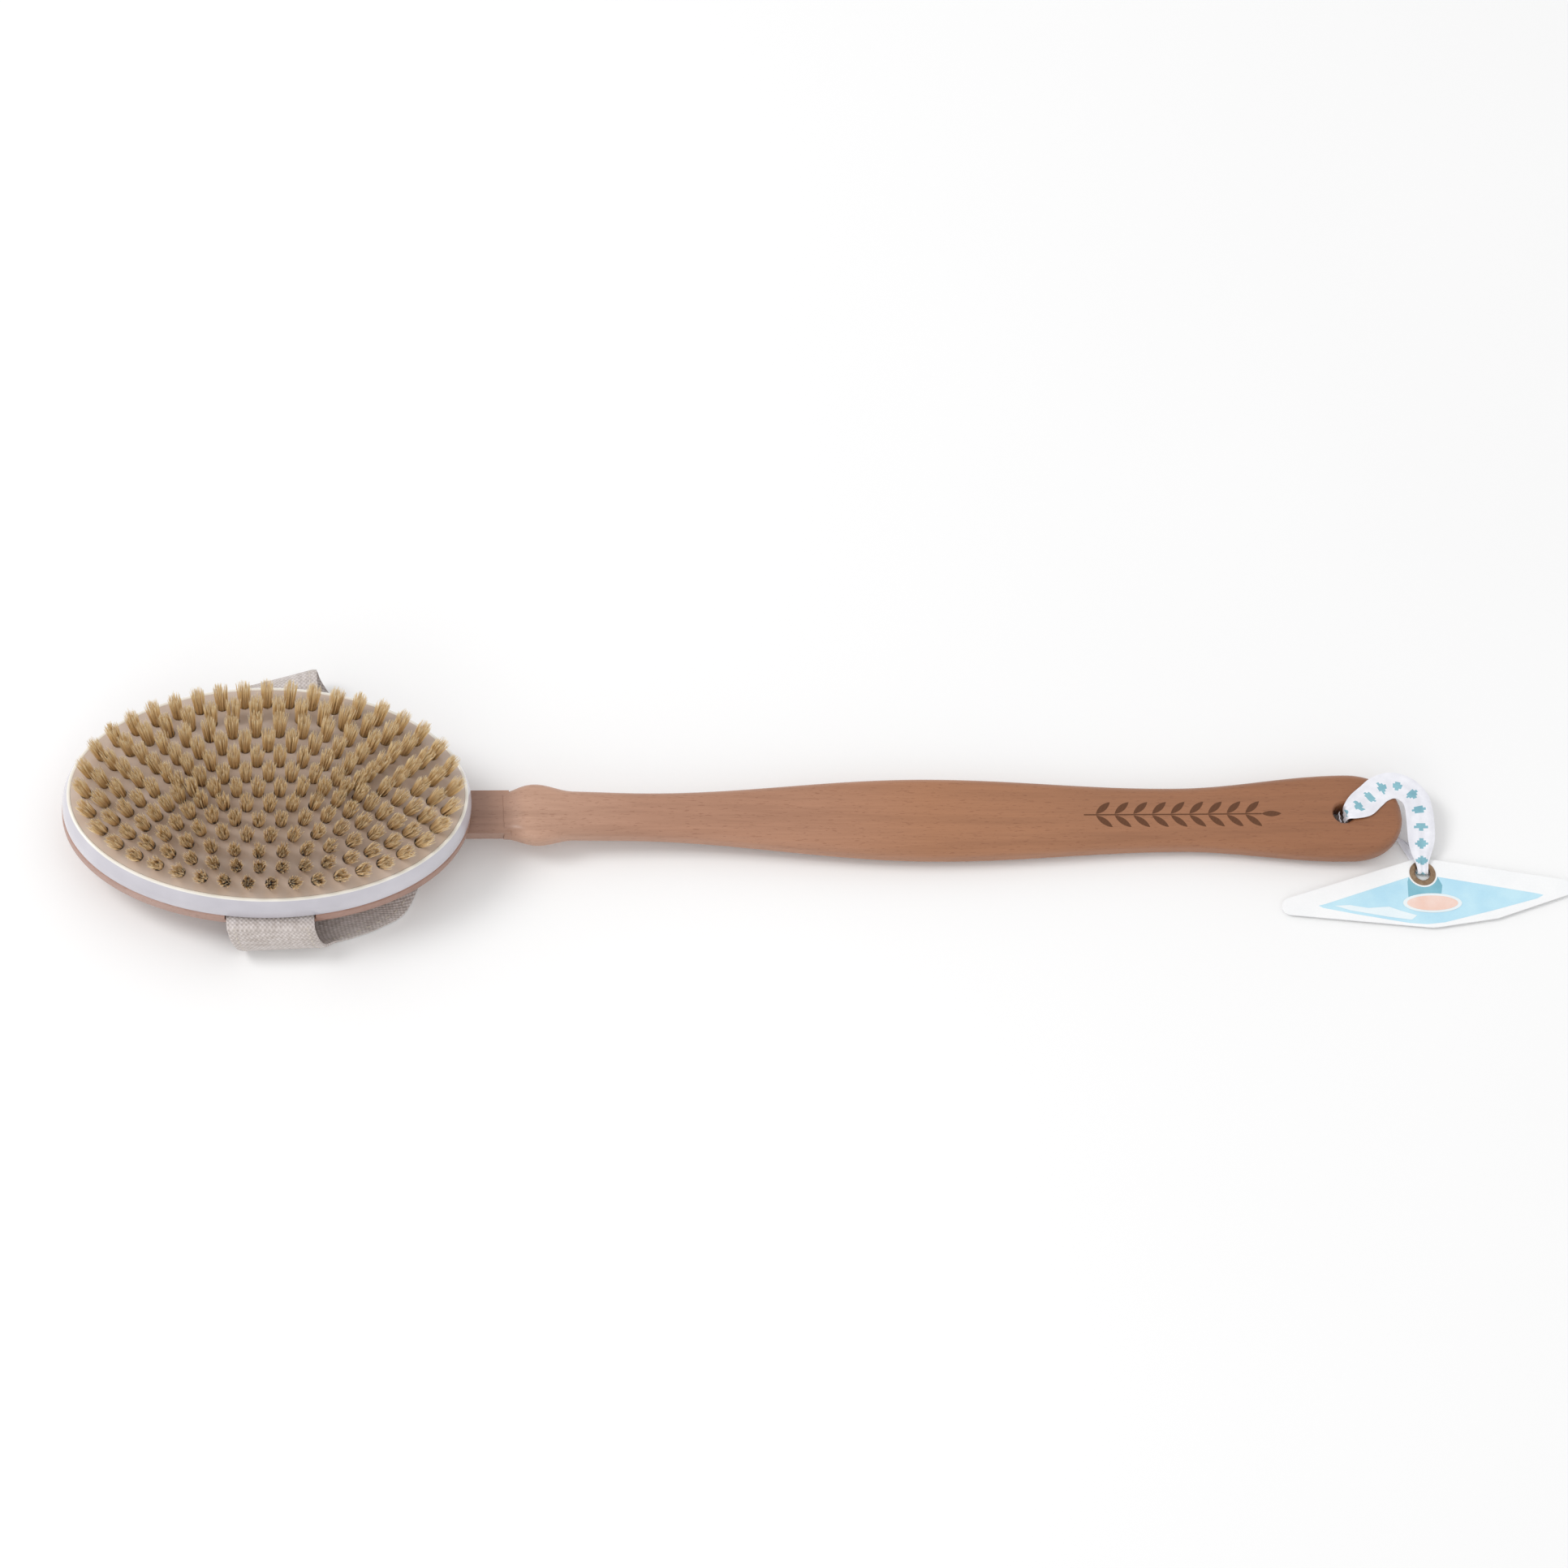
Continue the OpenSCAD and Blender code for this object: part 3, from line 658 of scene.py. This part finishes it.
# ---------------------------------------------------------------- back board
STRAP_X = 1.5
board_rows = smoothed([
    [15, 0], [11.5, 0.8], [1.6, 4.8], [0.5, 5.5], [0, 6.4], [0, 9.3], [0.4, 10]
], 4)
bottom = BOARD_Z / MM
board = mesh_piece("beech_board", *skin([
    oval_ring(max(inset, 0), bottom + min(max(z, 0), 10)) for inset, z in board_rows
]), [BOARD_WOOD])
carve(board, prism("groove", [
    (-mouth - GROOVE_CLEARANCE, bottom - 2), (mouth + GROOVE_CLEARANCE, bottom - 2),
    (mouth + GROOVE_CLEARANCE, TONGUE_Z),
    (TONGUE_HALF + GROOVE_CLEARANCE, TONGUE_Z + GROOVE_HEIGHT),
    (-TONGUE_HALF - GROOVE_CLEARANCE, TONGUE_Z + GROOVE_HEIGHT),
    (-mouth - GROOVE_CLEARANCE, TONGUE_Z)], TONGUE_START - GROOVE_CLEARANCE, 80))
# The pockets that take the strap's two ends under the block
POCKET_HALF, POCKET_FLOOR = 14, 7.9
for x, near, far in ((STRAP_X - 1.5, -44, -25), (STRAP_X + 1.5, 25, 44)):
    carve(board, block_tool((x - POCKET_HALF, near, bottom + POCKET_FLOOR),
                            (x + POCKET_HALF, far, bottom + 11)))
for x, y in SCREW_PLACES:
    carve(board, disc_tool(x, y, [(3.1, bottom - 0.3), (2.9, bottom), (1.5, bottom + 1.4),
                                  (1.5, bottom + 11)]))
board.data.materials.clear()
board.data.materials.append(BOARD_WOOD)
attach(board, "head")
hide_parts("back_board")

# ---------------------------------------------------------------- white block
bottom = BLOCK_Z / MM
wall = smoothed([[0.5, 0], [0.2, 0.5], [0.1, 2.5], [0.3, 5], [0.9, 7.4], [1.5, 9.1]], 4)
lip = [[1.6, 9.3], [1.8, 9.45], [2.1, 9.5], [2.35, 9.48], [2.55, 9.38], [2.6, 9.2]]
recess_floor = [[2.6, 3.5]]
points, faces = skin([oval_ring(inset, bottom + z) for inset, z in wall + lip + recess_floor])
# The lip's faces take the second slot, the painted highlight.
lip_start, lip_end = (len(wall) - 1) * OVAL_SIDES, (len(wall) + len(lip) - 1) * OVAL_SIDES
slots = [1 if lip_start <= i < lip_end else 0 for i in range(len(faces))]
block = mesh_piece("glossy_block", points, faces, [WHITE_IN_PAINTED_SHADE, LIP_PAINTED_HIGHLIGHT], slots=slots)
for x, y in SCREW_PLACES:
    carve(block, disc_tool(x, y, [(1.5, bottom - 1), (1.5, bottom + 3)]))
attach(block, "head")
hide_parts("bristle_block")

# ---------------------------------------------------------------- tufts
TUFT_PITCH, TUFT_RADIUS, TUFT_FLARE, TUFT_LENGTH = 7.0, 1.7, 0.25, 9.5
OUTER_INSET, RING_COUNT, ROW_END_GAP = 7.5, 7, 1.5
RING_PITCH = (HEAD_WIDTH / 2 / MM - OUTER_INSET) / (RING_COUNT - 1)
FAN_LENGTHWISE, FAN_SIDEWAYS, NEAR_LEAN = 18, 20, 6
BRISTLES = 100


def ring_size(ring):
    inset = OUTER_INSET + (ring - 1) * RING_PITCH
    return HEAD_LENGTH / 2 / MM - inset, HEAD_WIDTH / 2 / MM - inset


def ring_places(ring):
    """The tufts' places as the CAD spaces them, in millimetres from the head's middle."""
    long, wide = ring_size(ring)
    if ring == RING_COUNT:
        long -= ROW_END_GAP
        gaps = round(2 * long / TUFT_PITCH)
        return [(long * (2 * i / gaps - 1), 0) for i in range(gaps + 1)]
    spots = [(long * math.cos(math.radians(3 * k)), wide * math.sin(math.radians(3 * k)))
             for k in range(121)]
    lengths = [0.0]
    for a, b in zip(spots, spots[1:]):
        lengths.append(lengths[-1] + math.dist(a, b))
    count = 2 * round(lengths[-1] / TUFT_PITCH / 2)
    stagger = 0.5 if ring % 2 == 0 else 0
    places = []
    for i in range(count):
        want = lengths[-1] * (i + stagger) / count
        k = max(n for n in range(120) if lengths[n] <= want)
        turn = 3 * (k + (want - lengths[k]) / (lengths[k + 1] - lengths[k]))
        places.append((long * math.cos(math.radians(turn)), wide * math.sin(math.radians(turn))))
    return places


def tuft_axes(x, y):
    outer = ring_size(1)
    lean_x = math.tan(math.radians(FAN_LENGTHWISE)) * x / outer[0]
    lean_y = (math.tan(math.radians(FAN_SIDEWAYS)) * y / outer[1]
              - math.tan(math.radians(NEAR_LEAN)))
    up = Vector((lean_x, lean_y, 1)).normalized()
    side = up.cross(Vector((0, 1, 0))).normalized()
    return up, side, up.cross(side)


def grow_tuft(x, y, points, faces, uvs):
    """Adds one tuft of fine tapered bristles, pinched in its hole and fuller at its tip."""
    up, side, other = tuft_axes(x, y)
    root = at_head(x, y, FACE_Z / MM)
    trim = random.uniform(-0.25, 0.25)
    lean_more = Vector((random.uniform(-0.04, 0.04), random.uniform(-0.04, 0.04), 0))
    for _ in range(BRISTLES):
        reach = math.sqrt(random.random())
        turn = random.uniform(0, 2 * math.pi)
        out = side * math.cos(turn) + other * math.sin(turn)
        wild = random.random() < 0.05
        spread = reach * (TUFT_RADIUS + TUFT_FLARE + 0.35) * (1.2 if wild else 1)
        length = TUFT_LENGTH + trim + random.uniform(-0.55, 0.15) - 0.35 * reach
        if wild:
            length += 0.3
        curl = side * random.uniform(-0.28, 0.28) + other * random.uniform(-0.28, 0.28)
        own = random.random()
        thick = random.uniform(0.1, 0.135)
        base = len(points)
        for level, share in enumerate((0.0, 0.35, 0.7, 1.0)):
            gather = 0.62 + 0.38 * share ** 0.8
            spot = root + (up * (length * share - 1.2 * (1 - share))
                           + out * spread * gather
                           + (curl + lean_more * TUFT_LENGTH * 0.3) * share * share) * MM
            wide = thick * (1.0, 0.95, 0.8, 0.35)[level]
            for corner in range(3):
                angle = turn + 2 * math.pi * corner / 3
                rim = side * math.cos(angle) + other * math.sin(angle)
                points.append(spot + rim * wide * MM)
                uvs.append((own, share))
        for level in range(3):
            for corner in range(3):
                a = base + 3 * level + corner
                b = base + 3 * level + (corner + 1) % 3
                faces.append((a, b, b + 3, a + 3))
        faces.append((base + 2, base + 1, base))
        faces.append((base + 9, base + 10, base + 11))


for ring in range(1, RING_COUNT + 1):
    node = f"tufts_ring_{ring}" if ring < RING_COUNT else "tufts_centre_row"
    points, faces, uvs = [], [], []
    for x, y in ring_places(ring):
        grow_tuft(x, y, points, faces, uvs)
    piece = mesh_piece(node.replace("tufts", "bristles"), points, faces, [BRISTLE], uvs, sharp=80)
    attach(piece, "head")
    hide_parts(node)

# ---------------------------------------------------------------- hand strap
STRAP_THICKNESS, STRAP_COLUMNS, LAID_Z = 1.4, 25, 0.75
STRAP_END_Z = BLOCK_Z / MM - 0.6 - LAID_Z
STRAP_ROUTE = [
    [-15, -26, STRAP_END_Z, 12, -26, STRAP_END_Z],
    [-15, -39.5, STRAP_END_Z, 12, -39.5, STRAP_END_Z],
    [-14.5, -42, 14, 12.5, -42, 14], [-13, -43.5, 9.5, 14, -43.5, 10],
    [-11, -43, 4.5, 16, -42.5, 5], [-9, -40, 1.5, 19, -39.5, 1.5],
    [-3, -33, 0.75, 25, -37.5, 0.75], [8, -24, 0.75, 34, -34, 0.75],
    [18, -14, 0.75, 42, -28, 0.75], [22, -3, 0.75, 48, -12, 0.75],
    [22, 8, 0.75, 49, 5, 0.75], [16, 20, 0.75, 43, 20, 0.75],
    [4, 32, 0.75, 32, 33, 0.75], [-6, 39, 1.5, 22, 45, 1.5],
    [-10, 42.5, 4.5, 17, 51.5, 4.5], [-11.5, 43.5, 8.5, 15.5, 53, 8.5],
    [-12, 43.5, 12.5, 15, 50.5, 13],
    [-12, 41, STRAP_END_Z - 0.2, 15, 44, STRAP_END_Z],
    [-12, 37, STRAP_END_Z, 15, 38, STRAP_END_Z], [-12, 26, STRAP_END_Z, 15, 26, STRAP_END_Z],
]


def strap_ripple(share, so_far):
    """The small waves of slack canvas. Its held ends are flat."""
    free = min(1.0, max(0.0, (so_far - 16) / 12), max(0.0, (strap_length - 18 - so_far) / 12))
    return 0.16 * free * math.sin(so_far / 4.3 + 2.2 * share) * (0.6 + 0.4 * share)


strap_rows = []
for x0, y0, z0, x1, y1, z1 in smoothed(STRAP_ROUTE, 6):
    low, high = Vector((x0 + STRAP_X, y0, z0)), Vector((x1 + STRAP_X, y1, z1))
    middle = (low + high) / 2
    middle.z = max(middle.z, LAID_Z)
    strap_rows.append((middle, high - low))
strap_length = sum((b[0] - a[0]).length for a, b in zip(strap_rows, strap_rows[1:]))
points, faces, uvs, _ = band(
    strap_rows, STRAP_THICKNESS, STRAP_COLUMNS, strap_ripple)
for point in points:
    point.z = max(point.z, FLOOR_CLEARANCE)
strap = mesh_piece("canvas_strap", points, faces, [CANVAS], uvs, sharp=60)
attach(strap, "head")
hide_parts("hand_strap")

# One row of stitches near each edge of the strap, on its outer and on its inner face
ring_points = 2 * STRAP_COLUMNS
stitch_points, stitch_faces = [], []
for column in (2, 22):
    for outer in (0, 1):
        index = column if outer == 0 else ring_points - 1 - column
        path = [points[i * ring_points + index] for i in range(len(strap_rows))]
        inward = [points[i * ring_points + ring_points - 1 - index]
                  for i in range(len(strap_rows))]
        for i in range(8, len(path) - 9, 2):
            a, b = path[i], path[i + 1]
            out = (a - inward[i]).normalized()
            side = (b - a).cross(out).normalized() * 0.00022
            lift = out * 0.00012
            a, b = a + (b - a) * 0.1, b - (b - a) * 0.1
            base = len(stitch_points)
            stitch_points += [a - side, a + side, a + lift, b - side, b + side, b + lift]
            stitch_faces += [
                (base, base + 3, base + 5, base + 2), (base + 2, base + 5, base + 4, base + 1),
                (base + 1, base + 4, base + 3, base), (base, base + 2, base + 1),
                (base + 3, base + 4, base + 5),
            ]
stitches = mesh_piece("strap_stitches", stitch_points, stitch_faces, [THREAD])
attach(stitches, "head")

# ---------------------------------------------------------------- tag and eyelet
TAG_CORNERS = [(0, 0, 5.6), (-45.5, -11.5, 3), (46.5, -5.5, 3), (1, -8.5, 11), (22, -11.5, 5)]
TAG_HOLE = 2.9


def tag_point(x, y, z):
    return Vector((EYELET.x + x * MM, EYELET.y + y * MM, z))


def hull_outline(circles, shrink=0.0, steps=40):
    """The convex outline round circles [x, y, radius], anticlockwise."""
    dots = [(x + (r - shrink) * math.cos(2 * math.pi * k / steps),
             y + (r - shrink) * math.sin(2 * math.pi * k / steps))
            for x, y, r in circles for k in range(steps)]
    dots = sorted(set(dots))
    halves = []
    for run in (dots, dots[::-1]):
        chain = []
        for dot in run:
            while len(chain) > 1 and (
                (chain[-1][0] - chain[-2][0]) * (dot[1] - chain[-2][1])
                - (chain[-1][1] - chain[-2][1]) * (dot[0] - chain[-2][0])
            ) <= 0:
                chain.pop()
            chain.append(dot)
        halves += chain[:-1]
    return halves


def tag_layer(name, outline, low, high, look):
    """A flat layer of the tag between two heights, in metres."""
    points, faces = skin([[tag_point(x, y, z) for x, y in outline] for z in (low, high)])
    piece = mesh_piece(name, points, faces, [look])
    return piece


tag = tag_layer("tag_card", hull_outline(TAG_CORNERS), tag_low.z, tag_high.z, CARD)
tool = mesh_piece("tool", *skin([
    [tag_point(TAG_HOLE * math.cos(2 * math.pi * j / ROUND_SIDES),
               TAG_HOLE * math.sin(2 * math.pi * j / ROUND_SIDES), z)
     for j in range(ROUND_SIDES)] for z in (tag_low.z - 0.001, tag_high.z + 0.001)
]), [])
carve(tag, tool)
tag.data.materials.clear()
tag.data.materials.append(CARD)
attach(tag, "tag")
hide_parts("hang_tag")

INK = 0.00003
under_eyelet = [(5 * math.cos(math.radians(a)), 5 * math.sin(math.radians(a)))
                for a in range(195, 346, 10)]
layers = [
    ("tag_panel", [(-36.4, -11.4), (-34, -10.8), *under_eyelet, (37.5, -7.6), (39.7, -8.2),
                   (37.5, -9.4), (22, -13.6), (5, -17.8), (-1.1, -18.4), (-7, -17.9),
                   (-24, -14.6), (-35, -12.2)], PANEL),
    # A darker patch just below the eyelet: painted shadow and reflection of the ribbon.
    ("tag_painted_ribbon_shadow_and_reflection", [(-5.5, -3), *under_eyelet, (6, -4.4), (5, -8.6), (-6, -8.8)], RIBBON_SHADOW_AND_REFLECTION),
    ("tag_wave", [(-31, -11.5), (-26, -11.3), (-20, -12.4), (-13, -12), (-9, -13.6),
                  (-4, -15.2), (-6, -16.8), (-14, -15.6), (-26, -13.2)], WAVE),
]
for name, long, wide, look in (("tag_halo", 9.9, 3.5, HALO), ("tag_oval", 8.6, 2.7, PEACH)):
    oval = [(1.8 + long * math.cos(2 * math.pi * k / 40),
             -10.8 + wide * math.sin(2 * math.pi * k / 40)) for k in range(40)]
    layers.append((name, oval, look))
ink_pieces = []
for order, (name, outline, look) in enumerate(layers):
    low = tag_high.z + INK * (0.2 + order)
    ink_pieces.append(tag_layer(name, outline, low, low + INK, look))
for piece in ink_pieces:
    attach(piece, "tag")

z0, z1 = (eyelet_low.z - EYELET.z) / MM, (eyelet_high.z - EYELET.z) / MM
profile = [
    (2.5, z0 + 0.25), (2.7, z0 + 0.06), (3.1, z0), (4.0, z0), (4.3, z0 + 0.06), (4.4, z0 + 0.2),
    (4.25, z0 + 0.29), (2.9, z0 + 0.3), (2.9, z1 - 0.3), (4.25, z1 - 0.29), (4.4, z1 - 0.2),
    (4.3, z1 - 0.06), (4.0, z1), (3.1, z1), (2.7, z1 - 0.06), (2.5, z1 - 0.25),
]
points, faces = lathe(EYELET, profile)
eyelet = mesh_piece("rolled_eyelet", points, faces, [EYELET_BRASS])
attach(eyelet, "tag")
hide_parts("tag_eyelet")

# ---------------------------------------------------------------- CAD nodes that stay
# The tuft plate takes the painted shade of the face between the tufts.
kept = {"tuft_plate": FACE_PAINTED_SHADE, "block_screws": BRASS, "strap_tacks": STEEL}
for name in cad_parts:
    if name.startswith("anchor_wires"):
        kept[name] = STEEL
for name, look in kept.items():
    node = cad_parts[name]
    node.data.materials.clear()
    node.data.materials.append(look)

# ---------------------------------------------------------------- floor and light
floor_look = Look("floor", Roughness=0.7)
floor_cloud = floor_look.noise(floor_look.place(), 3, 2)
floor_look.paint(floor_look.ramp(floor_cloud, [
    (0.3, (0.93, 0.93, 0.93)), (0.7, (0.95, 0.95, 0.95))]))
floor = mesh_piece("floor", [(-8, -8, 0), (8, -8, 0), (8, 8, 0), (-8, 8, 0)], [(0, 1, 2, 3)],
                   [floor_look.material])
floor.location.z = -0.0002
floor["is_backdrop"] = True

world = bpy.data.worlds.new("studio")
world.use_nodes = True
world.node_tree.nodes["Background"].inputs["Color"].default_value = (1, 1, 1, 1)
world.node_tree.nodes["Background"].inputs["Strength"].default_value = 0.8
bpy.context.scene.world = world


def soft_light(name, place, size, power):
    data = bpy.data.lights.new(name, "AREA")
    data.shape = "RECTANGLE"
    data.size, data.size_y = size
    data.energy = power
    lamp = bpy.data.objects.new(name, data)
    lamp.location = place
    aim = Vector((0, 0, 0)) - Vector(place)
    lamp.rotation_euler = aim.to_track_quat("-Z", "Y").to_euler()
    bpy.context.scene.collection.objects.link(lamp)


soft_light("key", (-1.3, 0.2, 1.6), (0.7, 0.7), 14)
soft_light("front_fill", (-0.6, -1.8, 0.9), (1.4, 1.0), 4)
bpy.context.scene.view_settings.view_transform = "Standard"

low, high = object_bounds()
